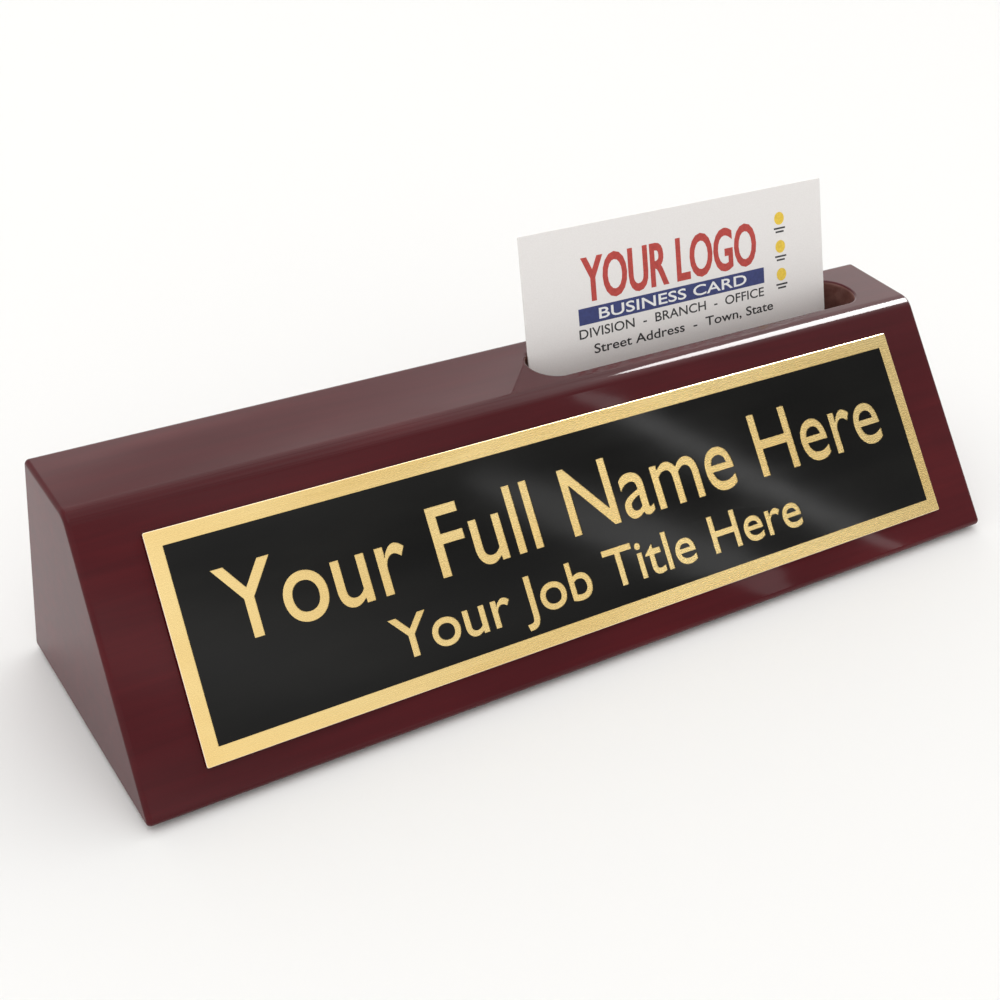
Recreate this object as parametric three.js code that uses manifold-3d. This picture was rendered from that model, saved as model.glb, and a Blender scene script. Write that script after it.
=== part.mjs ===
// A desk nameplate: a lacquered wooden wedge with a brass plate on its sloping front
// and a slot in its top that holds a business card. Millimetres, +Z up, +X along the
// length, front towards -Y. The origin is the middle of the felt's underside.

import * as THREE from 'three';
import { mergeVertices } from 'three/addons/utils/BufferGeometryUtils.js';
import Module from 'manifold-3d';

const INCH = 25.4;

// Wooden wedge. TOP_DEPTH runs from the back to where the top and the slope would meet.
const BLOCK_LENGTH = 8.5 * INCH;
const BLOCK_HEIGHT = 45;
const TOP_DEPTH = 21;
const SLOPE_ANGLE = THREE.MathUtils.degToRad(49.5);
const TOP_FRONT_RADIUS = 5;
const FRONT_FOOT_RADIUS = 1.2;
const BACK_RADIUS = 1.2;
const END_ROUNDING = 1;

// Felt under the wedge
const FELT_THICKNESS = 0.8;
const FELT_INSET = 5;
const FELT_CORNER_RADIUS = 3;

// Card slot, a straight-sided hole with round ends, cut down from the top face
const SLOT_LENGTH = 3.75 * INCH;
const SLOT_WIDTH = 11.7;
const SLOT_DEPTH = 23.5;
const SLOT_CORNER_RADIUS = 5.7;
const SLOT_TO_RIGHT_END = 11.5;
const SLOT_TO_BACK = 5;
const SLOT_LIP_RADIUS = 0.8;

// Plate, its black coat and the adhesive strips behind it, all on the sloping front
const PLATE_WIDTH = 7.5 * INCH;
const PLATE_HEIGHT = 1.75 * INCH;
const PLATE_THICKNESS = 0.5;
const PLATE_RIGHT_SHIFT = 0.2;
const PLATE_UP_SHIFT = 0.5;
const PLATE_BORDER = INCH / 8;
const COAT_THICKNESS = 0.1;
const TAPE_WIDTH = 12.7;
const TAPE_THICKNESS = 0.25;
const TAPE_EDGE_INSET = 3;
const LAYER_GAP = 0.05;

// Business card
const CARD_WIDTH = 3.5 * INCH;
const CARD_HEIGHT = 2 * INCH;
const CARD_THICKNESS = 0.4;
const CARD_LEAN = THREE.MathUtils.degToRad(18.9);
const CARD_LEFT_SHIFT = 0.9;
const CARD_GAP = 0.3;

// Places that follow from the sizes above
const slopeRun = BLOCK_HEIGHT / Math.tan(SLOPE_ANGLE);
const tipLostToRounding = FRONT_FOOT_RADIUS * (1 / Math.tan(SLOPE_ANGLE / 2) - 1);
const blockDepth = slopeRun + TOP_DEPTH - tipLostToRounding;
const back = blockDepth / 2;
const sharpFront = back - TOP_DEPTH - slopeRun;
const woodBottom = FELT_THICKNESS + LAYER_GAP;
const woodTop = woodBottom + BLOCK_HEIGHT;
const slotX = BLOCK_LENGTH / 2 - SLOT_TO_RIGHT_END - SLOT_LENGTH / 2;
const slotY = back - SLOT_TO_BACK - SLOT_WIDTH / 2;
const slotFloor = woodTop - SLOT_DEPTH;

const finishes = {
  lacquer: new THREE.MeshStandardMaterial({ color: 0x4a1218, roughness: 0.12, metalness: 0 }),
  felt: new THREE.MeshStandardMaterial({ color: 0x16201a, roughness: 1, metalness: 0 }),
  brass: new THREE.MeshStandardMaterial({ color: 0xd9b25c, roughness: 0.28, metalness: 1 }),
  coat: new THREE.MeshStandardMaterial({ color: 0x0b0b0a, roughness: 0.2, metalness: 0 }),
  tape: new THREE.MeshStandardMaterial({ color: 0xe6e2d6, roughness: 0.8, metalness: 0 }),
  card: new THREE.MeshStandardMaterial({ color: 0xf2f1ee, roughness: 0.6, metalness: 0 }),
};

function toSolid(wasm, geometry) {
  const bare = geometry.clone();
  bare.deleteAttribute('normal');
  bare.deleteAttribute('uv');
  const merged = mergeVertices(bare, 1e-4);
  return new wasm.Manifold(new wasm.Mesh({
    numProp: 3,
    vertProperties: new Float32Array(merged.attributes.position.array),
    triVerts: new Uint32Array(merged.index.array),
  }));
}

function toGeometry(solid) {
  const mesh = solid.getMesh();
  const geometry = new THREE.BufferGeometry();
  geometry.setAttribute('position', new THREE.BufferAttribute(mesh.vertProperties, 3));
  geometry.setIndex(new THREE.BufferAttribute(mesh.triVerts, 1));
  geometry.computeVertexNormals();
  return geometry;
}

// A convex outline whose corners, given anticlockwise as [x, y, radius], are arcs.
function roundedOutline(corners) {
  const shape = new THREE.Shape();
  corners.forEach(([x, y, radius], i) => {
    const corner = new THREE.Vector2(x, y);
    const [beforeX, beforeY] = corners.at(i - 1);
    const [afterX, afterY] = corners[(i + 1) % corners.length];
    const inward = corner.clone().sub(new THREE.Vector2(beforeX, beforeY)).normalize();
    const outward = new THREE.Vector2(afterX, afterY).sub(corner).normalize();
    const turn = Math.acos(inward.dot(outward));
    const arcStart = corner.clone().addScaledVector(inward, -radius * Math.tan(turn / 2));
    const centre = arcStart.clone().add(new THREE.Vector2(-inward.y, inward.x).multiplyScalar(radius));
    const startAngle = Math.atan2(arcStart.y - centre.y, arcStart.x - centre.x);
    shape.absarc(centre.x, centre.y, radius, startAngle, startAngle + turn, false);
  });
  shape.closePath();
  return shape;
}

function roundedRectangle(width, height, radius) {
  const x = width / 2;
  const y = height / 2;
  return roundedOutline([[-x, -y, radius], [x, -y, radius], [x, y, radius], [-x, y, radius]]);
}

// The wedge's side outline, drawn in the Y-Z plane and extruded along X.
function wedgeGeometry() {
  const outline = roundedOutline([
    [sharpFront, woodBottom, FRONT_FOOT_RADIUS],
    [back, woodBottom, BACK_RADIUS],
    [back, woodTop, BACK_RADIUS],
    [back - TOP_DEPTH, woodTop, TOP_FRONT_RADIUS],
  ]);
  const straight = BLOCK_LENGTH - 2 * END_ROUNDING;
  const geometry = new THREE.ExtrudeGeometry(outline, {
    depth: straight,
    curveSegments: 8,
    bevelThickness: END_ROUNDING,
    bevelSize: END_ROUNDING,
    bevelOffset: -END_ROUNDING,
    bevelSegments: 4,
  });
  geometry.translate(0, 0, -straight / 2);
  const outlineToWedge = new THREE.Matrix4().makeBasis(
    new THREE.Vector3(0, 1, 0), new THREE.Vector3(0, 0, 1), new THREE.Vector3(1, 0, 0));
  return geometry.applyMatrix4(outlineToWedge);
}

// The slot's straight walls, and a flare that rounds its lip at the top face.
function slotGeometries() {
  const outline = roundedRectangle(SLOT_LENGTH, SLOT_WIDTH, SLOT_CORNER_RADIUS);
  const well = new THREE.ExtrudeGeometry(outline, {
    depth: SLOT_DEPTH + SLOT_LIP_RADIUS,
    curveSegments: 12,
    bevelEnabled: false,
  });
  const flare = new THREE.ExtrudeGeometry(outline, {
    depth: SLOT_LIP_RADIUS,
    curveSegments: 12,
    bevelThickness: SLOT_LIP_RADIUS,
    bevelSize: -SLOT_LIP_RADIUS,
    bevelOffset: SLOT_LIP_RADIUS,
    bevelSegments: 4,
  });
  well.translate(slotX, slotY, slotFloor);
  flare.translate(slotX, slotY, woodTop - 2 * SLOT_LIP_RADIUS);
  const lipBand = new THREE.BoxGeometry(2 * SLOT_LENGTH, 2 * SLOT_WIDTH, SLOT_LIP_RADIUS * 1.5);
  lipBand.translate(slotX, slotY, woodTop - SLOT_LIP_RADIUS * 0.5);
  return { well, flare, lipBand };
}

async function woodBlock() {
  const wasm = await Module();
  wasm.setup();
  const { well, flare, lipBand } = slotGeometries();
  const lip = toSolid(wasm, flare).intersect(toSolid(wasm, lipBand));
  const slot = toSolid(wasm, well).add(lip);
  const block = toSolid(wasm, wedgeGeometry()).subtract(slot);
  return new THREE.Mesh(toGeometry(block), finishes.lacquer);
}

function baseFelt() {
  const outline = roundedRectangle(
    BLOCK_LENGTH - 2 * FELT_INSET, blockDepth - 2 * FELT_INSET, FELT_CORNER_RADIUS);
  const geometry = new THREE.ExtrudeGeometry(outline, {
    depth: FELT_THICKNESS,
    curveSegments: 6,
    bevelEnabled: false,
  });
  return new THREE.Mesh(geometry, finishes.felt);
}

// A flat layer on the sloping front: its size, the height of its back above the wood
// and its place up the slope from the plate's middle.
function slopeLayer(width, height, thickness, lift, finish, alongSlope = 0) {
  const layer = new THREE.Mesh(new THREE.BoxGeometry(width, height, thickness), finish);
  layer.position.set(0, alongSlope, lift + thickness / 2);
  return layer;
}

function nameplate() {
  const onSlope = new THREE.Group();
  onSlope.rotation.x = SLOPE_ANGLE;
  onSlope.position.set(0, sharpFront + slopeRun / 2, woodBottom + BLOCK_HEIGHT / 2);
  const plateMiddle = new THREE.Group();
  plateMiddle.position.set(PLATE_RIGHT_SHIFT, PLATE_UP_SHIFT, 0);
  onSlope.add(plateMiddle);

  const plateLift = 2 * LAYER_GAP + TAPE_THICKNESS;
  const coatLift = plateLift + PLATE_THICKNESS + LAYER_GAP;
  const plate = slopeLayer(PLATE_WIDTH, PLATE_HEIGHT, PLATE_THICKNESS, plateLift, finishes.brass);
  plate.name = 'brass_plate';
  const coat = slopeLayer(PLATE_WIDTH - 2 * PLATE_BORDER, PLATE_HEIGHT - 2 * PLATE_BORDER,
    COAT_THICKNESS, coatLift, finishes.coat);
  coat.name = 'black_coat';
  plateMiddle.add(plate, coat);

  const tapeOffset = PLATE_HEIGHT / 2 - TAPE_EDGE_INSET - TAPE_WIDTH / 2;
  for (const [name, side] of [['upper_tape', 1], ['lower_tape', -1]]) {
    const tape = slopeLayer(PLATE_WIDTH - 2 * TAPE_EDGE_INSET, TAPE_WIDTH, TAPE_THICKNESS,
      LAYER_GAP, finishes.tape, side * tapeOffset);
    tape.name = name;
    plateMiddle.add(tape);
  }
  return onSlope;
}

// The card stands on the slot's floor and leans back until its edges meet the slot's
// round ends, just below the lip.
function businessCard() {
  const pastStraight = CARD_WIDTH / 2 + CARD_LEFT_SHIFT - (SLOT_LENGTH / 2 - SLOT_CORNER_RADIUS);
  const cornerY = slotY + SLOT_WIDTH / 2 - SLOT_CORNER_RADIUS;
  const lipY = cornerY + Math.sqrt(SLOT_CORNER_RADIUS ** 2 - pastStraight ** 2) + SLOT_LIP_RADIUS;
  const lipZ = woodTop - SLOT_LIP_RADIUS;
  const footZ = slotFloor + CARD_GAP + CARD_THICKNESS / 2 * Math.sin(CARD_LEAN);
  const lipToCard = SLOT_LIP_RADIUS + CARD_GAP + CARD_THICKNESS / 2;
  const footY = lipY - (lipToCard + (lipZ - footZ) * Math.sin(CARD_LEAN)) / Math.cos(CARD_LEAN);
  const geometry = new THREE.BoxGeometry(CARD_WIDTH, CARD_THICKNESS, CARD_HEIGHT);
  geometry.translate(0, 0, CARD_HEIGHT / 2);
  const card = new THREE.Mesh(geometry, finishes.card);
  card.rotation.x = -CARD_LEAN;
  card.position.set(slotX - CARD_LEFT_SHIFT, footY, footZ);
  return card;
}

const deskNameplate = new THREE.Group();
const block = await woodBlock();
block.name = 'wood_block';
const felt = baseFelt();
felt.name = 'base_felt';
const card = businessCard();
card.name = 'business_card';
deskNameplate.add(block, felt, nameplate(), card);

export default deskNameplate;
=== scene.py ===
"""A desk nameplate: a lacquered wooden wedge, a brass plate with a black coat cut away
for its lettering, and a business card standing in the slot in its top. Metres."""
from math import atan2, cos, pi, radians, sin, tan

import bmesh
import bpy
from mathutils import Euler, Matrix, Vector


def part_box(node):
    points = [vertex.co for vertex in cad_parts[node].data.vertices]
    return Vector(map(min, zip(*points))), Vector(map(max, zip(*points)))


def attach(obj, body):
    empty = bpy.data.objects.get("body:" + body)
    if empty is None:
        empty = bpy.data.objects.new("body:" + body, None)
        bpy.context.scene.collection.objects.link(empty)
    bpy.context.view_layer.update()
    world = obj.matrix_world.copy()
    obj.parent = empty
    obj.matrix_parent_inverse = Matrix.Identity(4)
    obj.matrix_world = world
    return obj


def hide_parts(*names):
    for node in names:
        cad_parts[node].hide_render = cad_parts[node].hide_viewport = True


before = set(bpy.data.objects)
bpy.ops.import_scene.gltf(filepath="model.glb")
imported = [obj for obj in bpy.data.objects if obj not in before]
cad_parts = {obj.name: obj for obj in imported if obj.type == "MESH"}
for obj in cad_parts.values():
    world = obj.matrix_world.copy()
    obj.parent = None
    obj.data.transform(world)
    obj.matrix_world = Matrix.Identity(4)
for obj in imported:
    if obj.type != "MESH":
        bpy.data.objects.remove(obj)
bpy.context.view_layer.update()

MM = 0.001
INCH = 25.4 * MM

# Wedge, as the frame's wood_block is shaped
SLOPE = radians(49.5)
TOP_DEPTH = 21 * MM
TOP_FRONT_RADIUS = 5 * MM
FRONT_FOOT_RADIUS = 1.2 * MM
BACK_RADIUS = 1.2 * MM
END_ROUNDING = 1.0 * MM

# Card slot in the top
SLOT_LENGTH = 3.75 * INCH
SLOT_WIDTH = 11.7 * MM
SLOT_DEPTH = 23.5 * MM
SLOT_CORNER_RADIUS = 5.7 * MM
SLOT_TO_RIGHT_END = 11.5 * MM
SLOT_TO_BACK = 5 * MM
SLOT_LIP_RADIUS = 0.8 * MM
SLOT_FLOOR_RADIUS = 0.6 * MM

# Plate
PLATE_THICKNESS = 0.5 * MM
PLATE_EDGE_RADIUS = 0.22 * MM
COAT_THICKNESS = 0.1 * MM

# Card
CARD_LEAN = radians(18.9)
CARD_HEIGHT = 2 * INCH
CARD_THICKNESS = 0.4 * MM
INK_THICKNESS = 0.02 * MM
LETTER_WEIGHT = 0.13 * MM    # added all round the plain letters
CAP_HEIGHT_SHARE = 0.682    # of the built-in letters' size


# ---------------------------------------------------------------- shared helpers

def place_mesh(name, mesh, body, slot, *replaced):
    """A finished piece: its object stays at the origin, riding on a body of the frame."""
    piece = bpy.data.objects.new(name, mesh)
    mesh.name = name
    bpy.context.scene.collection.objects.link(piece)
    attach(piece, body)
    if replaced:
        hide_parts(*replaced)
    return piece


def baked(source, matrix=Matrix.Identity(4)):
    """The evaluated shape of an object as a plain mesh, moved by a matrix; the object goes."""
    bpy.context.view_layer.update()
    depsgraph = bpy.context.evaluated_depsgraph_get()
    mesh = bpy.data.meshes.new_from_object(source.evaluated_get(depsgraph))
    mesh.transform(matrix)
    bpy.data.objects.remove(source)
    return mesh


def smooth(mesh, material):
    mesh.materials.clear()
    mesh.materials.append(material)
    mesh.shade_smooth()


def rounded_outline(corners, steps):
    """Points and outward normals round a convex outline of (x, y, radius) corners,
    given anticlockwise. Each corner becomes steps + 1 points on its arc."""
    points = []
    for i, (x, y, radius) in enumerate(corners):
        corner = Vector((x, y))
        before = Vector(corners[i - 1][:2])
        after = Vector(corners[(i + 1) % len(corners)][:2])
        inward = (corner - before).normalized()
        turn = inward.angle((after - corner).normalized())
        start = corner - inward * radius * tan(turn / 2)
        centre = start + Vector((-inward.y, inward.x)) * radius
        first = atan2(start.y - centre.y, start.x - centre.x)
        for step in range(steps + 1):
            angle = first + turn * step / steps
            normal = Vector((cos(angle), sin(angle)))
            points.append((centre + normal * radius, normal))
    return points


def bridge(bm, ring_a, ring_b):
    """Quads between two closed rings of vertices."""
    count = len(ring_a)
    for i in range(count):
        j = (i + 1) % count
        bm.faces.new((ring_a[i], ring_a[j], ring_b[j], ring_b[i]))


# ---------------------------------------------------------------- materials

def new_material(name):
    """A node material, its shader and a function that adds and wires nodes."""
    material = bpy.data.materials.new(name)
    material.use_nodes = True
    tree = material.node_tree
    shader = tree.nodes["Principled BSDF"]

    def add(kind, inputs=None, **settings):
        node = tree.nodes.new(kind)
        for key, value in settings.items():
            setattr(node, key, value)
        for key, value in (inputs or {}).items():
            if isinstance(value, bpy.types.NodeSocket):
                tree.links.new(value, node.inputs[key])
            else:
                node.inputs[key].default_value = value
        return node

    def link(output, socket):
        tree.links.new(output, socket)

    return material, shader, add, link


def object_coordinates(add, scale, turn=(0, 0, 0)):
    """Object coordinates stretched by scale, after a turn."""
    place = add("ShaderNodeTexCoord").outputs["Object"]
    mapping = add("ShaderNodeMapping", {"Vector": place, "Rotation": turn, "Scale": scale})
    return mapping.outputs["Vector"]


def ramp(add, value, stops):
    """A colour ramp through (position, colour) stops."""
    node = add("ShaderNodeValToRGB", {"Fac": value})
    elements = node.color_ramp.elements
    for element, (position, colour) in zip(elements, (stops[0], stops[-1])):
        element.position = position
        element.color = (*colour, 1)
    for position, colour in stops[1:-1]:
        elements.new(position).color = (*colour, 1)
    return node.outputs["Color"]


def bump(add, height, distance, strength=1.0, under=None):
    inputs = {"Height": height, "Distance": distance, "Strength": strength}
    if under is not None:
        inputs["Normal"] = under
    return add("ShaderNodeBump", inputs).outputs["Normal"]


def lacquered_rosewood():
    """Stained wood with a faint long grain under a deep, slightly wavy clear lacquer.
    Inside the card slot the stain is thin and the wood is paler."""
    material, shader, add, link = new_material("lacquered_rosewood")
    along = object_coordinates(add, (10, 170, 170))
    grain = add("ShaderNodeTexNoise", {"Vector": along, "Scale": 2.2, "Detail": 7.0, "Roughness": 0.55,
                                       "Distortion": 0.5})
    figure_place = object_coordinates(add, (16, 34, 34))
    figure = add("ShaderNodeTexNoise", {"Vector": figure_place, "Scale": 1.0, "Detail": 3.0})
    blend = add("ShaderNodeMix", {0: 0.6, 2: grain.outputs["Fac"], 3: figure.outputs["Fac"]})
    stain = ramp(add, blend.outputs[0], [
        (0.30, (0.048, 0.0012, 0.0036)),
        (0.50, (0.064, 0.0020, 0.0050)),
        (0.70, (0.088, 0.0036, 0.0066)),
    ])
    thin_stain = ramp(add, grain.outputs["Fac"], [
        (0.35, (0.120, 0.048, 0.040)),
        (0.65, (0.190, 0.085, 0.070)),
    ])
    inside = add("ShaderNodeAttribute", attribute_name="inside_slot")
    colour = add("ShaderNodeMix", {0: inside.outputs["Fac"], 6: stain, 7: thin_stain}, data_type="RGBA")
    link(colour.outputs[2], shader.inputs["Base Color"])
    shader.inputs["Roughness"].default_value = 0.5
    shader.inputs["Specular IOR Level"].default_value = 0.05
    shader.inputs["Coat Weight"].default_value = 0.75
    shader.inputs["Coat Roughness"].default_value = 0.045
    shader.inputs["Coat IOR"].default_value = 1.3
    wave_place = object_coordinates(add, (30, 70, 70))
    wave = add("ShaderNodeTexNoise", {"Vector": wave_place, "Scale": 1.0, "Detail": 1.5})
    link(bump(add, wave.outputs["Fac"], 0.00016, 0.5), shader.inputs["Coat Normal"])
    return material


def brushed_brass():
    """Bright brass with fine scratches along the plate and a little tarnish, with a painted highlight of
    pale colour along the plate's rounded rim.
    """
    material, shader, add, link = new_material("brushed_brass")
    lines_place = object_coordinates(add, (60, 5200, 5200))
    lines = add("ShaderNodeTexNoise", {"Vector": lines_place, "Scale": 1.0, "Detail": 3.0})
    cloud_place = object_coordinates(add, (22, 60, 60))
    cloud = add("ShaderNodeTexNoise", {"Vector": cloud_place, "Scale": 1.0, "Detail": 3.0})
    polish = ramp(add, cloud.outputs["Fac"], [
        (0.30, (0.90, 0.64, 0.25)),
        (0.70, (0.99, 0.76, 0.35)),
    ])
    # Painted highlight: the plate's rounded rim (the cut_edge mark) is coloured pale cream, standing in for
    # light caught along the edge.
    edge = add("ShaderNodeAttribute", attribute_name="cut_edge")
    colour = add("ShaderNodeMix", {0: edge.outputs["Fac"], 6: polish, 7: (0.98, 0.84, 0.66, 1)},
                 data_type="RGBA")
    link(colour.outputs[2], shader.inputs["Base Color"])
    shader.inputs["Metallic"].default_value = 1.0
    rough = add("ShaderNodeMapRange", {"Value": lines.outputs["Fac"], "To Min": 0.20, "To Max": 0.34})
    link(rough.outputs["Result"], shader.inputs["Roughness"])
    link(bump(add, lines.outputs["Fac"], 0.000004, 0.6), shader.inputs["Normal"])
    return material


def black_lacquer():
    """Thin glossy black coat with faint marks of wiping."""
    material, shader, add, link = new_material("black_lacquer")
    haze_place = object_coordinates(add, (30, 120, 120), (0, 0, radians(18)))
    haze = add("ShaderNodeTexNoise", {"Vector": haze_place, "Scale": 1.0, "Detail": 4.0})
    colour = ramp(add, haze.outputs["Fac"], [
        (0.35, (0.0030, 0.0030, 0.0028)),
        (0.75, (0.0062, 0.0060, 0.0052)),
    ])
    link(colour, shader.inputs["Base Color"])
    rough = add("ShaderNodeMapRange", {"Value": haze.outputs["Fac"], "To Min": 0.05, "To Max": 0.11})
    link(rough.outputs["Result"], shader.inputs["Roughness"])
    wave_place = object_coordinates(add, (50, 80, 80))
    wave = add("ShaderNodeTexNoise", {"Vector": wave_place, "Scale": 1.0, "Detail": 1.0})
    shader.inputs["Specular IOR Level"].default_value = 0.24
    link(bump(add, wave.outputs["Fac"], 0.00004, 0.5), shader.inputs["Normal"])
    return material


def felt_fibres():
    """Dark short-pile felt."""
    material, shader, add, link = new_material("felt_fibres")
    fibre_place = object_coordinates(add, (1400, 1400, 1400))
    fibre = add("ShaderNodeTexNoise", {"Vector": fibre_place, "Scale": 1.0, "Detail": 5.0,
                                       "Distortion": 2.0})
    colour = ramp(add, fibre.outputs["Fac"], [
        (0.30, (0.006, 0.010, 0.008)),
        (0.70, (0.020, 0.030, 0.024)),
    ])
    link(colour, shader.inputs["Base Color"])
    shader.inputs["Roughness"].default_value = 0.95
    shader.inputs["Sheen Weight"].default_value = 0.4
    link(bump(add, fibre.outputs["Fac"], 0.0003), shader.inputs["Normal"])
    return material


def tape_film():
    """Whitish foam tape."""
    material, shader, add, link = new_material("tape_film")
    grain_place = object_coordinates(add, (900, 900, 900))
    grain = add("ShaderNodeTexNoise", {"Vector": grain_place, "Scale": 1.0, "Detail": 2.0})
    colour = ramp(add, grain.outputs["Fac"], [
        (0.35, (0.62, 0.60, 0.54)),
        (0.65, (0.72, 0.70, 0.64)),
    ])
    link(colour, shader.inputs["Base Color"])
    shader.inputs["Roughness"].default_value = 0.6
    link(bump(add, grain.outputs["Fac"], 0.00002), shader.inputs["Normal"])
    return material


def card_stock():
    """Smooth white card with a hint of paper fibre."""
    material, shader, add, link = new_material("card_stock")
    fibre_place = object_coordinates(add, (3200, 3200, 3200))
    fibre = add("ShaderNodeTexNoise", {"Vector": fibre_place, "Scale": 1.0, "Detail": 3.0})
    colour = ramp(add, fibre.outputs["Fac"], [
        (0.30, (0.790, 0.765, 0.755)),
        (0.70, (0.825, 0.805, 0.795)),
    ])
    link(colour, shader.inputs["Base Color"])
    shader.inputs["Roughness"].default_value = 0.42
    link(bump(add, fibre.outputs["Fac"], 0.00001), shader.inputs["Normal"])
    return material


def printing_ink(name, dark, light):
    """A printed colour, uneven as ink on paper is."""
    material, shader, add, link = new_material(name)
    place = object_coordinates(add, (1500, 1500, 1500))
    speckle = add("ShaderNodeTexNoise", {"Vector": place, "Scale": 1.0, "Detail": 3.0})
    link(ramp(add, speckle.outputs["Fac"], [(0.35, dark), (0.65, light)]), shader.inputs["Base Color"])
    shader.inputs["Roughness"].default_value = 0.38
    return material


# ---------------------------------------------------------------- camera, floor and light

def place_camera():
    """A 58 mm lens looking down over the left-hand end of the front."""
    data = bpy.data.cameras.new("camera")
    data.lens = 58.44
    data.sensor_width = 36
    data.shift_x, data.shift_y = 0.02, -0.10
    data.clip_start = 0.01
    camera = bpy.data.objects.new("camera", data)
    heading, dip, roll = radians(35.6), radians(30.69), radians(5.78)
    aim = Euler((pi / 2 - dip, 0, -heading)).to_matrix() @ Matrix.Rotation(roll, 3, "Z")
    camera.matrix_world = Matrix.Translation((-0.18671, -0.22685, 0.21928)) @ aim.to_4x4()
    bpy.context.scene.collection.objects.link(camera)
    bpy.context.scene.camera = camera


def lay_floor():
    """A plain pale round floor, 4 m in radius."""
    bm = bmesh.new()
    bmesh.ops.create_circle(bm, cap_ends=True, segments=96, radius=4.0)
    mesh = bpy.data.meshes.new("floor")
    bm.to_mesh(mesh)
    bm.free()
    material, shader, _, _ = new_material("floor_paint")
    shader.inputs["Base Color"].default_value = (0.86, 0.86, 0.86, 1)
    shader.inputs["Roughness"].default_value = 1.0
    shader.inputs["Specular IOR Level"].default_value = 0.0
    mesh.materials.append(material)
    floor = bpy.data.objects.new("floor", mesh)
    bpy.context.scene.collection.objects.link(floor)


def light_world():
    """A pale surround, brighter behind on the window side and dimmer towards the front right,
    with faint slanting bands high up, as of a blind."""
    world = bpy.data.worlds.new("surround")
    bpy.context.scene.world = world
    world.use_nodes = True
    tree = world.node_tree
    background = tree.nodes["Background"]

    def add(kind, inputs, **settings):
        node = tree.nodes.new(kind)
        for key, value in settings.items():
            setattr(node, key, value)
        for key, value in inputs.items():
            if isinstance(value, bpy.types.NodeSocket):
                tree.links.new(value, node.inputs[key])
            else:
                node.inputs[key].default_value = value
        return node

    direction = add("ShaderNodeTexCoord", {}).outputs["Generated"]
    dim_side = add("ShaderNodeVectorMath", {0: direction, 1: Vector((0.75, -0.50, 0.45)).normalized()},
                   operation="DOT_PRODUCT")
    dim = add("ShaderNodeMapRange", {"Value": dim_side.outputs["Value"], "From Min": 0.86,
                                     "From Max": 0.985, "To Min": 1.12, "To Max": 0.40},
              interpolation_type="SMOOTHSTEP")
    height = add("ShaderNodeSeparateXYZ", {0: direction}).outputs["Z"]
    above = add("ShaderNodeMapRange", {"Value": height, "From Min": 0.40, "From Max": 0.52})
    slanted = add("ShaderNodeMapping", {"Vector": direction, "Rotation": (0, radians(-24), 0)})
    bands = add("ShaderNodeTexWave", {"Vector": slanted.outputs["Vector"], "Scale": 4.2,
                                      "Distortion": 1.6, "Detail": 1.0}, bands_direction="Z")
    shade = add("ShaderNodeMapRange", {"Value": bands.outputs["Fac"], "To Min": 1.12, "To Max": 0.62})
    shade_above = add("ShaderNodeMix", {0: above.outputs["Result"], 2: 1.0, 3: shade.outputs["Result"]})
    window_side = add("ShaderNodeVectorMath", {0: direction, 1: Vector((0.53, 0.69, 0.49))},
                      operation="DOT_PRODUCT")
    window = add("ShaderNodeMapRange", {"Value": window_side.outputs["Value"], "From Min": 0.65,
                                        "From Max": 0.95, "To Min": 1.0, "To Max": 1.75},
                 interpolation_type="SMOOTHSTEP")
    lit = add("ShaderNodeMath", {0: dim.outputs["Result"], 1: window.outputs["Result"]},
              operation="MULTIPLY")
    strength = add("ShaderNodeMath", {0: lit.outputs["Value"], 1: shade_above.outputs[0]},
                   operation="MULTIPLY")
    tree.links.new(strength.outputs["Value"], background.inputs["Strength"])
    background.inputs["Color"].default_value = (1.0, 0.99, 0.97, 1)


def add_softbox(name, place, size, power, shape="RECTANGLE", gloss_only=False, roll=0.0):
    """An area light at a place, turned towards the middle of the wedge and rolled about its beam."""
    data = bpy.data.lights.new(name, "AREA")
    data.shape = shape
    data.size, data.size_y = size
    data.energy = power
    lamp = bpy.data.objects.new(name, data)
    aim = (Vector((0, 0, 0.025)) - Vector(place)).to_track_quat("-Z", "Y")
    lamp.matrix_world = (Matrix.Translation(place) @ aim.to_matrix().to_4x4()
                         @ Matrix.Rotation(roll, 4, "Z"))
    lamp.visible_diffuse = not gloss_only
    bpy.context.scene.collection.objects.link(lamp)


def light_studio():
    light_world()
    add_softbox("overhead_softbox", (-0.5, -0.2, 1.9), (1.6, 1.2), 4)
    add_softbox("window_strip", (0.845, 0.04, 0.84), (0.40, 0.46), 20, "ELLIPSE", gloss_only=True)
    add_softbox("narrow_glint", (0.835, -0.80, 0.668), (0.022, 0.42), 0.075, "ELLIPSE", gloss_only=True,
                roll=radians(18))
    add_softbox("broad_glint", (0.76, -0.90, 0.71), (0.045, 0.36), 0.085, "ELLIPSE", gloss_only=True,
                roll=radians(30))


# ---------------------------------------------------------------- places taken from the frame

wood_low, wood_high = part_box("wood_block")
back = wood_high.y
wood_top = wood_high.z
wood_bottom = wood_low.z
slope_run = (wood_top - wood_bottom) / tan(SLOPE)
sharp_front = back - TOP_DEPTH - slope_run
slot_x = wood_high.x - SLOT_TO_RIGHT_END - SLOT_LENGTH / 2
slot_y = back - SLOT_TO_BACK - SLOT_WIDTH / 2
slot_floor = wood_top - SLOT_DEPTH

plate_low, plate_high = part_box("brass_plate")
coat_low, coat_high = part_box("black_coat")
slope_turn = Matrix.Rotation(SLOPE, 4, "X")


# ---------------------------------------------------------------- solids with rounded edges

def new_ring(bm, normals, outline, offset, height, tilt, facing=1):
    """One closed ring of vertices, with the true surface normal of each kept in normals."""
    ring = []
    for point, normal in outline:
        ring.append(bm.verts.new((*(point + normal * offset), height)))
        normals.append(Vector((*(normal * cos(tilt) * facing), sin(tilt))))
    return ring


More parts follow.
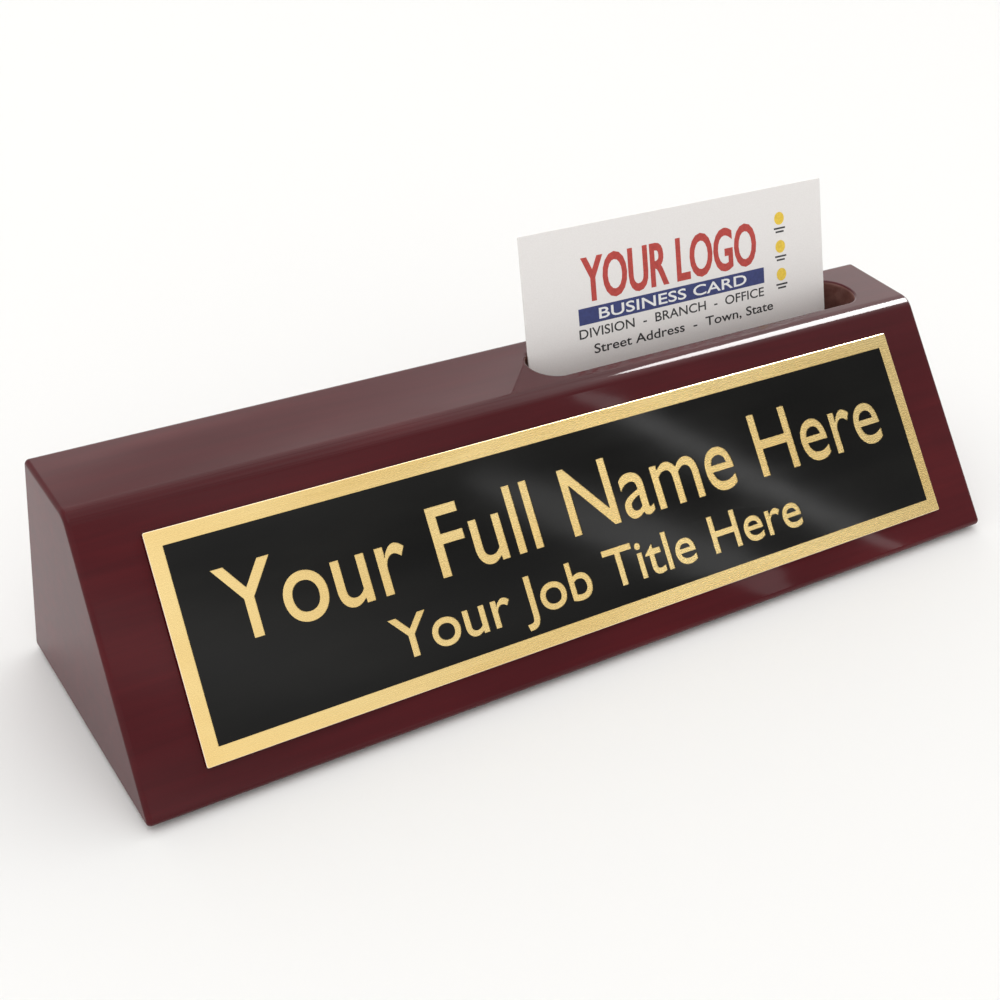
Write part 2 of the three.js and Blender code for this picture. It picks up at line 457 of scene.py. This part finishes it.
def rounded_solid(bm, normals, outline, thickness, edge_radius, steps):
    """A flat-faced solid centred on its own XY plane, with all its edges rounded. Gives its rings."""
    rings = []
    for side in (-1, 1):
        for step in range(steps + 1):
            tilt = pi / 2 * (step / steps - (side < 0))
            height = side * (thickness / 2 - edge_radius) + edge_radius * sin(tilt)
            rings.append(new_ring(bm, normals, outline, edge_radius * (cos(tilt) - 1), height, tilt))
    for below, above in zip(rings, rings[1:]):
        bridge(bm, below, above)
    bm.faces.new(reversed(rings[0]))
    bm.faces.new(rings[-1])
    return rings


def lay_out(bm, normals, matrix):
    bm.transform(matrix)
    turn = matrix.to_3x3()
    normals[:] = [turn @ normal for normal in normals]


def finished_mesh(bm, normals, material):
    """A mesh that shades by the true normals of its surface."""
    mesh = bpy.data.meshes.new("solid")
    bm.to_mesh(mesh)
    bm.free()
    smooth(mesh, material)
    mesh.normals_split_custom_set_from_vertices(normals)
    return mesh


def rectangle_corners(width, length, radius):
    return [(-width / 2, -length / 2, radius), (width / 2, -length / 2, radius),
            (width / 2, length / 2, radius), (-width / 2, length / 2, radius)]


# ---------------------------------------------------------------- wooden wedge

def slot_rings(bm, normals):
    """The slot's surface from its rounded lip down to its floor. Gives the ring at the lip's outside."""
    outline = rounded_outline(rectangle_corners(SLOT_LENGTH, SLOT_WIDTH, SLOT_CORNER_RADIUS), 20)
    outline = [(point + Vector((slot_x, slot_y)), normal) for point, normal in outline]
    rings = []
    steps = 8
    for step in range(steps + 1):
        tilt = pi / 2 * (1 - step / steps)
        rings.append(new_ring(bm, normals, outline, SLOT_LIP_RADIUS * (1 - cos(tilt)),
                              wood_top - SLOT_LIP_RADIUS * (1 - sin(tilt)), tilt, facing=-1))
    for step in range(steps + 1):
        tilt = pi / 2 * step / steps
        rings.append(new_ring(bm, normals, outline, -SLOT_FLOOR_RADIUS * (1 - cos(tilt)),
                              slot_floor + SLOT_FLOOR_RADIUS * (1 - sin(tilt)), tilt, facing=-1))
    for above, below in zip(rings, rings[1:]):
        bridge(bm, above, below)
    bm.faces.new(rings[-1])
    inside = bm.verts.layers.float["inside_slot"]
    for ring in rings[steps // 2 + 1:]:
        for vertex in ring:
            vertex[inside] = 1.0
    return rings[0]


def make_wedge():
    """The wedge's profile drawn along its length, with the card slot sunk into its top."""
    arc_steps, end_steps = 18, 14
    profile = rounded_outline([
        (back, wood_bottom, BACK_RADIUS),
        (back, wood_top, BACK_RADIUS),
        (back - TOP_DEPTH, wood_top, TOP_FRONT_RADIUS),
        (sharp_front, wood_bottom, FRONT_FOOT_RADIUS),
    ], arc_steps)
    bm, normals = bmesh.new(), []
    bm.verts.layers.float.new("inside_slot")
    rings = rounded_solid(bm, normals, profile, wood_high.x - wood_low.x, END_ROUNDING, end_steps)
    lay_out(bm, normals, Matrix(((0, 0, 1, 0), (1, 0, 0, 0), (0, 1, 0, 0), (0, 0, 0, 1))))

    # The flat of the top, between the back edge's arc and the front edge's arc, is made again
    # with the slot's mouth in it.
    after_back_arc = 2 * arc_steps + 1
    left, right = rings[end_steps], rings[end_steps + 1]
    corners = [left[after_back_arc], left[after_back_arc + 1],
               right[after_back_arc + 1], right[after_back_arc]]
    top_face = bm.faces.get(corners)
    bm.faces.remove(top_face)
    mouth = slot_rings(bm, normals)
    border = [bm.edges.get((a, b)) for ring in (corners, mouth) for a, b in zip(ring, ring[1:] + ring[:1])]
    filled = bmesh.ops.triangle_fill(bm, use_beauty=True, edges=border, normal=(0, 0, 1))
    for face in filled["geom"]:
        if isinstance(face, bmesh.types.BMFace):
            face.normal_update()
            if face.normal.z < 0:
                face.normal_flip()
    place_mesh("wooden_wedge", finished_mesh(bm, normals, lacquered_rosewood()), "block",
               "lacquered_wood", "wood_block")


# ---------------------------------------------------------------- plate and its black coat

def on_slope(low, high):
    """The place of a sheet that lies on the slope: its own X along the wedge, its Y up the slope."""
    return Matrix.Translation((low + high) / 2) @ slope_turn


def sheet_size(low, high, thickness):
    """Length along the wedge and height up the slope of a sheet that lies on the slope.

    The bounds hold the thickness too, tilted, which adds its share to the rise and to the run."""
    rise, run = high.z - low.z, high.y - low.y
    return high.x - low.x, rise * sin(SLOPE) + run * cos(SLOPE) - thickness * sin(2 * SLOPE)


def make_plate():
    """The brass plate with its sheared edges rubbed smooth, its rim marked for a painted pale highlight."""
    width, height = sheet_size(plate_low, plate_high, PLATE_THICKNESS)
    bm, normals = bmesh.new(), []
    outline = rounded_outline(rectangle_corners(width, height, 0.4 * MM), 5)
    rounded_solid(bm, normals, outline, PLATE_THICKNESS, PLATE_EDGE_RADIUS, 5)
    # Marks the rounded rim, where the brass material paints a pale edge highlight.
    edge = bm.verts.layers.float.new("cut_edge")
    for vertex, normal in zip(bm.verts, normals):
        vertex[edge] = 1.0 if normal.z < 0.85 else 0.0
    lay_out(bm, normals, on_slope(plate_low, plate_high))
    place_mesh("engraved_plate", finished_mesh(bm, normals, brushed_brass()), "block", "brass",
               "brass_plate")


def text_curve(words, cap_height, width, centre, baseline, bold=0.0, resolution=6):
    """Words in the plain built-in letters as a flat curve, fitted to a cap height and a width."""
    data = bpy.data.curves.new(words, "FONT")
    data.body = words
    data.size = cap_height / CAP_HEIGHT_SHARE
    data.resolution_u = resolution
    data.offset = bold
    words_object = bpy.data.objects.new(words, data)
    bpy.context.scene.collection.objects.link(words_object)
    bpy.ops.object.select_all(action="DESELECT")
    words_object.select_set(True)
    bpy.context.view_layer.objects.active = words_object
    bpy.ops.object.convert(target="CURVE")
    curve_object = bpy.context.view_layer.objects.active
    bpy.context.view_layer.update()
    left = min(corner[0] for corner in curve_object.bound_box)
    right = max(corner[0] for corner in curve_object.bound_box)
    stretch = width / (right - left)
    curve_object.data.transform(Matrix.Translation((centre - stretch * (left + right) / 2, baseline, 0))
                                @ Matrix.Diagonal((stretch, 1, 1, 1)))
    return curve_object


def rectangle_curve(width, height):
    data = bpy.data.curves.new("border", "CURVE")
    data.dimensions = "2D"
    spline = data.splines.new("POLY")
    spline.points.add(3)
    for point, (x, y) in zip(spline.points, ((-1, -1), (1, -1), (1, 1), (-1, 1))):
        point.co = (x * width / 2, y * height / 2, 0, 1)
    spline.use_cyclic_u = True
    border = bpy.data.objects.new("border", data)
    bpy.context.scene.collection.objects.link(border)
    return border


def joined_curves(*curves):
    """The curves as one flat curve, in which a line inside another cuts a hole."""
    bpy.ops.object.select_all(action="DESELECT")
    for curve in curves:
        curve.select_set(True)
    bpy.context.view_layer.objects.active = curves[0]
    bpy.ops.object.join()
    return curves[0]


def curve_solid(curve, thickness, matrix, material):
    """A flat curve given a thickness about its own plane, as a closed mesh in its place."""
    curve.data.dimensions = "2D"
    curve.data.fill_mode = "BOTH"
    curve.data.extrude = thickness / 2
    mesh = baked(curve)
    bm = bmesh.new()
    bm.from_mesh(mesh)
    bmesh.ops.remove_doubles(bm, verts=bm.verts, dist=0.001 * MM)
    bmesh.ops.dissolve_degenerate(bm, edges=bm.edges, dist=0.001 * MM)
    bmesh.ops.recalc_face_normals(bm, faces=bm.faces)
    bm.transform(matrix)
    bm.to_mesh(mesh)
    bm.free()
    mesh.materials.clear()
    mesh.materials.append(material)
    mesh.shade_flat()
    return mesh


def make_coat():
    """The black coat inside the plate's bare border, with the lettering cut out of it."""
    width, height = sheet_size(coat_low, coat_high, COAT_THICKNESS)
    name = text_curve("Your Full Name Here", 14.1 * MM, 169.6 * MM, 0.3 * MM, -2.1 * MM, resolution=10)
    title = text_curve("Your Job Title Here", 8.0 * MM, 106.6 * MM, 0.8 * MM, -15.0 * MM, resolution=8)
    film = joined_curves(rectangle_curve(width + 2 * LETTER_WEIGHT, height + 2 * LETTER_WEIGHT), name, title)
    film.data.offset = -LETTER_WEIGHT
    mesh = curve_solid(film, COAT_THICKNESS, on_slope(coat_low, coat_high), black_lacquer())
    place_mesh("coat_with_lettering", mesh, "block", "black_lacquer", "black_coat")


# ---------------------------------------------------------------- geometry node trees

class Tree:
    """A Geometry Nodes tree being built: named sizes come in, one finished shape goes out."""

    def __init__(self, name, sizes):
        self.group = bpy.data.node_groups.new(name, "GeometryNodeTree")
        self.group.interface.new_socket("Shape", in_out="INPUT", socket_type="NodeSocketGeometry")
        for size, kind in sizes.items():
            self.group.interface.new_socket(size, in_out="INPUT", socket_type=kind)
        self.group.interface.new_socket("Shape", in_out="OUTPUT", socket_type="NodeSocketGeometry")
        self.sizes = self.group.nodes.new("NodeGroupInput").outputs

    def add(self, kind, inputs=None, **settings):
        node = self.group.nodes.new(kind)
        for key, value in settings.items():
            setattr(node, key, value)
        for key, value in (inputs or {}).items():
            if isinstance(value, bpy.types.NodeSocket):
                self.group.links.new(value, node.inputs[key])
            else:
                node.inputs[key].default_value = value
        return node.outputs

    def finish(self, instances):
        """Real geometry with the piece's material, which every tree ends in."""
        real = self.add("GeometryNodeRealizeInstances", {"Geometry": instances})["Geometry"]
        painted = self.add("GeometryNodeSetMaterial", {"Geometry": real, "Material": self.sizes["Material"]})
        out = self.group.nodes.new("NodeGroupOutput")
        self.group.links.new(painted["Geometry"], out.inputs["Shape"])
        return self.group


def grow(base_mesh, group, values, matrix=Matrix.Identity(4)):
    """Runs a tree on a mesh with its inputs set, and gives the result as a plain mesh."""
    base = bpy.data.objects.new("base", base_mesh)
    bpy.context.scene.collection.objects.link(base)
    modifier = base.modifiers.new("tree", "NODES")
    modifier.node_group = group
    for item in group.interface.items_tree:
        if item.in_out == "INPUT" and item.name in values:
            modifier[item.identifier] = values[item.name]
    mesh = baked(base, matrix)
    mesh.materials.clear()
    mesh.materials.append(values["Material"])
    return mesh


def row_tree():
    """Copies of a shape down a straight row."""
    tree = Tree("row_of_marks", {"Count": "NodeSocketInt", "Spacing": "NodeSocketFloat",
                                 "Material": "NodeSocketMaterial"})
    step = tree.add("ShaderNodeCombineXYZ", {"Y": tree.sizes["Spacing"]})["Vector"]
    row = tree.add("GeometryNodeMeshLine", {"Count": tree.sizes["Count"], "Offset": step})["Mesh"]
    copies = tree.add("GeometryNodeInstanceOnPoints", {"Points": row, "Instance": tree.sizes["Shape"]})
    return tree.finish(copies["Instances"])


def nap_tree():
    """Short tapered fibres standing out of a surface at slightly different slants and lengths."""
    tree = Tree("felt_nap", {"Fibres per Square Metre": "NodeSocketFloat", "Length": "NodeSocketFloat",
                             "Thickness": "NodeSocketFloat", "Seed": "NodeSocketInt",
                             "Material": "NodeSocketMaterial"})
    roots = tree.add("GeometryNodeDistributePointsOnFaces", {
        "Mesh": tree.sizes["Shape"], "Density": tree.sizes["Fibres per Square Metre"],
        "Seed": tree.sizes["Seed"]}, distribute_method="RANDOM")
    fibre = tree.add("GeometryNodeMeshCone", {
        "Vertices": 3, "Radius Bottom": tree.sizes["Thickness"], "Radius Top": 0.0,
        "Depth": tree.sizes["Length"]})["Mesh"]
    lean = tree.add("FunctionNodeRandomValue", {"Min": (-0.5, -0.5, -3.1), "Max": (0.5, 0.5, 3.1),
                                                "Seed": tree.sizes["Seed"]}, data_type="FLOAT_VECTOR")
    lean_turn = tree.add("FunctionNodeEulerToRotation", {"Euler": lean["Value"]})["Rotation"]
    turn = tree.add("FunctionNodeRotateRotation", {"Rotation": roots["Rotation"], "Rotate By": lean_turn},
                    rotation_space="LOCAL")["Rotation"]
    growth = tree.add("FunctionNodeRandomValue", {2: 0.5, 3: 1.0, "Seed": tree.sizes["Seed"]},
                      data_type="FLOAT")
    fibres = tree.add("GeometryNodeInstanceOnPoints", {
        "Points": roots["Points"], "Instance": fibre, "Rotation": turn, "Scale": growth[1]})
    return tree.finish(fibres["Instances"])


# ---------------------------------------------------------------- felt under the wedge

def make_felt():
    """The felt pad, with loose fibres round its cut edge."""
    low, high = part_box("base_felt")
    width, length, thickness = high - low
    felt = felt_fibres()
    bm, normals = bmesh.new(), []
    outline = rounded_outline(rectangle_corners(width, length, 3 * MM), 8)
    rounded_solid(bm, normals, outline, thickness, 0.25 * MM, 4)
    lay_out(bm, normals, Matrix.Translation((low + high) / 2))
    pad = place_mesh("felt_pad", finished_mesh(bm, normals, felt), "block", "felt", "base_felt")

    bm = bmesh.new()
    bm.from_mesh(pad.data)
    cut_edge = [face for face in bm.faces if abs(face.normal.z) < 0.3]
    bmesh.ops.delete(bm, geom=[face for face in bm.faces if face not in cut_edge], context="FACES")
    edge_band = bpy.data.meshes.new("edge_band")
    bm.to_mesh(edge_band)
    bm.free()
    nap = grow(edge_band, nap_tree(), {"Fibres per Square Metre": 1.1e7, "Length": 0.55 * MM,
                                       "Thickness": 0.022 * MM, "Seed": 7, "Material": felt})
    for vertex in nap.vertices:
        vertex.co.z = max(vertex.co.z, low.z)
    nap_piece = place_mesh("felt_edge_fibres", nap, "block", "felt")


# ---------------------------------------------------------------- business card

def card_frame():
    """The card's own place: origin at the middle of its foot, X along it, Y up it, Z out of its face."""
    low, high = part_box("business_card")
    foot = Vector(((low.x + high.x) / 2, low.y + CARD_THICKNESS / 2 * cos(CARD_LEAN),
                   low.z + CARD_THICKNESS / 2 * sin(CARD_LEAN)))
    return Matrix.Translation(foot) @ Matrix.Rotation(pi / 2 - CARD_LEAN, 4, "X"), high.x - low.x


def block_curve(left, right, bottom, top):
    """A plain printed bar."""
    bar = rectangle_curve(right - left, top - bottom)
    bar.data.transform(Matrix.Translation(((left + right) / 2, (bottom + top) / 2, 0)))
    return bar


def make_card():
    """The card and what is printed on it, which stands a hair above its face."""
    place, width = card_frame()
    bm, normals = bmesh.new(), []
    outline = rounded_outline(rectangle_corners(width, CARD_HEIGHT, 0.3 * MM), 4)
    rounded_solid(bm, normals, outline, CARD_THICKNESS, 0.06 * MM, 3)
    lay_out(bm, normals, place @ Matrix.Translation((0, CARD_HEIGHT / 2, 0)))
    place_mesh("card", finished_mesh(bm, normals, card_stock()), "card", "card_stock", "business_card")

    face = place @ Matrix.Translation((0, 0, (CARD_THICKNESS + INK_THICKNESS) / 2))
    upper_face = face @ Matrix.Translation((0, 0, INK_THICKNESS))
    brick = printing_ink("brick_ink", (0.40, 0.030, 0.022), (0.50, 0.045, 0.032))
    navy = printing_ink("navy_ink", (0.012, 0.022, 0.13), (0.018, 0.032, 0.17))
    black = printing_ink("black_ink", (0.010, 0.010, 0.012), (0.020, 0.020, 0.022))
    white = printing_ink("white_ink", (0.80, 0.80, 0.80), (0.85, 0.85, 0.85))
    amber = printing_ink("amber_ink", (0.75, 0.50, 0.03), (0.85, 0.60, 0.05))

    def printed(name, ink, *curves, onto=face):
        mesh = curve_solid(joined_curves(*curves), INK_THICKNESS, onto, ink)
        place_mesh(name, mesh, "card", "card_stock")

    def line(words, cap, left, right, baseline, bold=0.03):
        return text_curve(words, cap * MM, (right - left) * MM, ((left + right) / 2 * MM - width / 2),
                          CARD_HEIGHT - baseline * MM, bold * MM, resolution=4)

    printed("print_headline", brick, line("YOUR LOGO", 9.6, 16.0, 67.5, 17.3, bold=0.32))
    printed("print_bar", navy, block_curve(14.4 * MM - width / 2, 69.6 * MM - width / 2,
                                           CARD_HEIGHT - 22.6 * MM, CARD_HEIGHT - 18.8 * MM))
    printed("print_bar_words", white, line("BUSINESS CARD", 2.4, 20.0, 64.0, 21.9, bold=0.04),
            onto=upper_face)
    printed("print_lines", black,
            line("DIVISION  -  BRANCH  -  OFFICE", 2.1, 14.2, 69.3, 25.7),
            line("Street Address  -  Town, State", 2.1, 18.0, 72.0, 29.6),
            line("Name and Surname", 2.6, 26.0, 62.0, 36.5),
            line("Telephone  000 000 0000", 1.9, 24.0, 64.0, 41.0),
            line("Internet and Postal Address", 1.9, 20.0, 68.0, 45.0))

    spot = bmesh.new()
    bmesh.ops.create_cone(spot, cap_ends=True, segments=32, radius1=1.55 * MM, radius2=1.55 * MM,
                          depth=INK_THICKNESS)
    spot_mesh = bpy.data.meshes.new("spot")
    spot.to_mesh(spot_mesh)
    spot.free()
    first_spot = Matrix.Translation((75.2 * MM - width / 2, CARD_HEIGHT - 7.8 * MM, 0))
    spots = grow(spot_mesh, row_tree(), {"Count": 3, "Spacing": -6.85 * MM, "Material": amber},
                 face @ first_spot)
    place_mesh("print_spots", spots, "card", "card_stock")
    captions = bmesh.new()
    for row, length in enumerate((3.6 * MM, 2.6 * MM)):
        below = Matrix.Translation((0, -2.4 * MM - row * 0.85 * MM, 0))
        bmesh.ops.create_cube(captions, size=1,
                              matrix=below @ Matrix.Diagonal((length, 0.42 * MM, INK_THICKNESS, 1)))
    caption_mesh = bpy.data.meshes.new("caption")
    captions.to_mesh(caption_mesh)
    captions.free()
    caption_rows = grow(caption_mesh, row_tree(), {"Count": 3, "Spacing": -6.85 * MM, "Material": black},
                        face @ first_spot)
    place_mesh("print_captions", caption_rows, "card", "card_stock")


# ---------------------------------------------------------------- the whole object

def paint_tapes():
    """The tapes keep their plain shape, which lies hidden between the plate and the wood."""
    tape = tape_film()
    for name in ("upper_tape", "lower_tape"):
        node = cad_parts[name]
        if node.material_slots:
            node.material_slots[0].material = tape
        else:
            node.data.materials.append(tape)


place_camera()
lay_floor()
light_studio()
make_wedge()
make_plate()
make_coat()
make_felt()
make_card()
paint_tapes()

bpy.context.scene.view_settings.view_transform = "Standard"
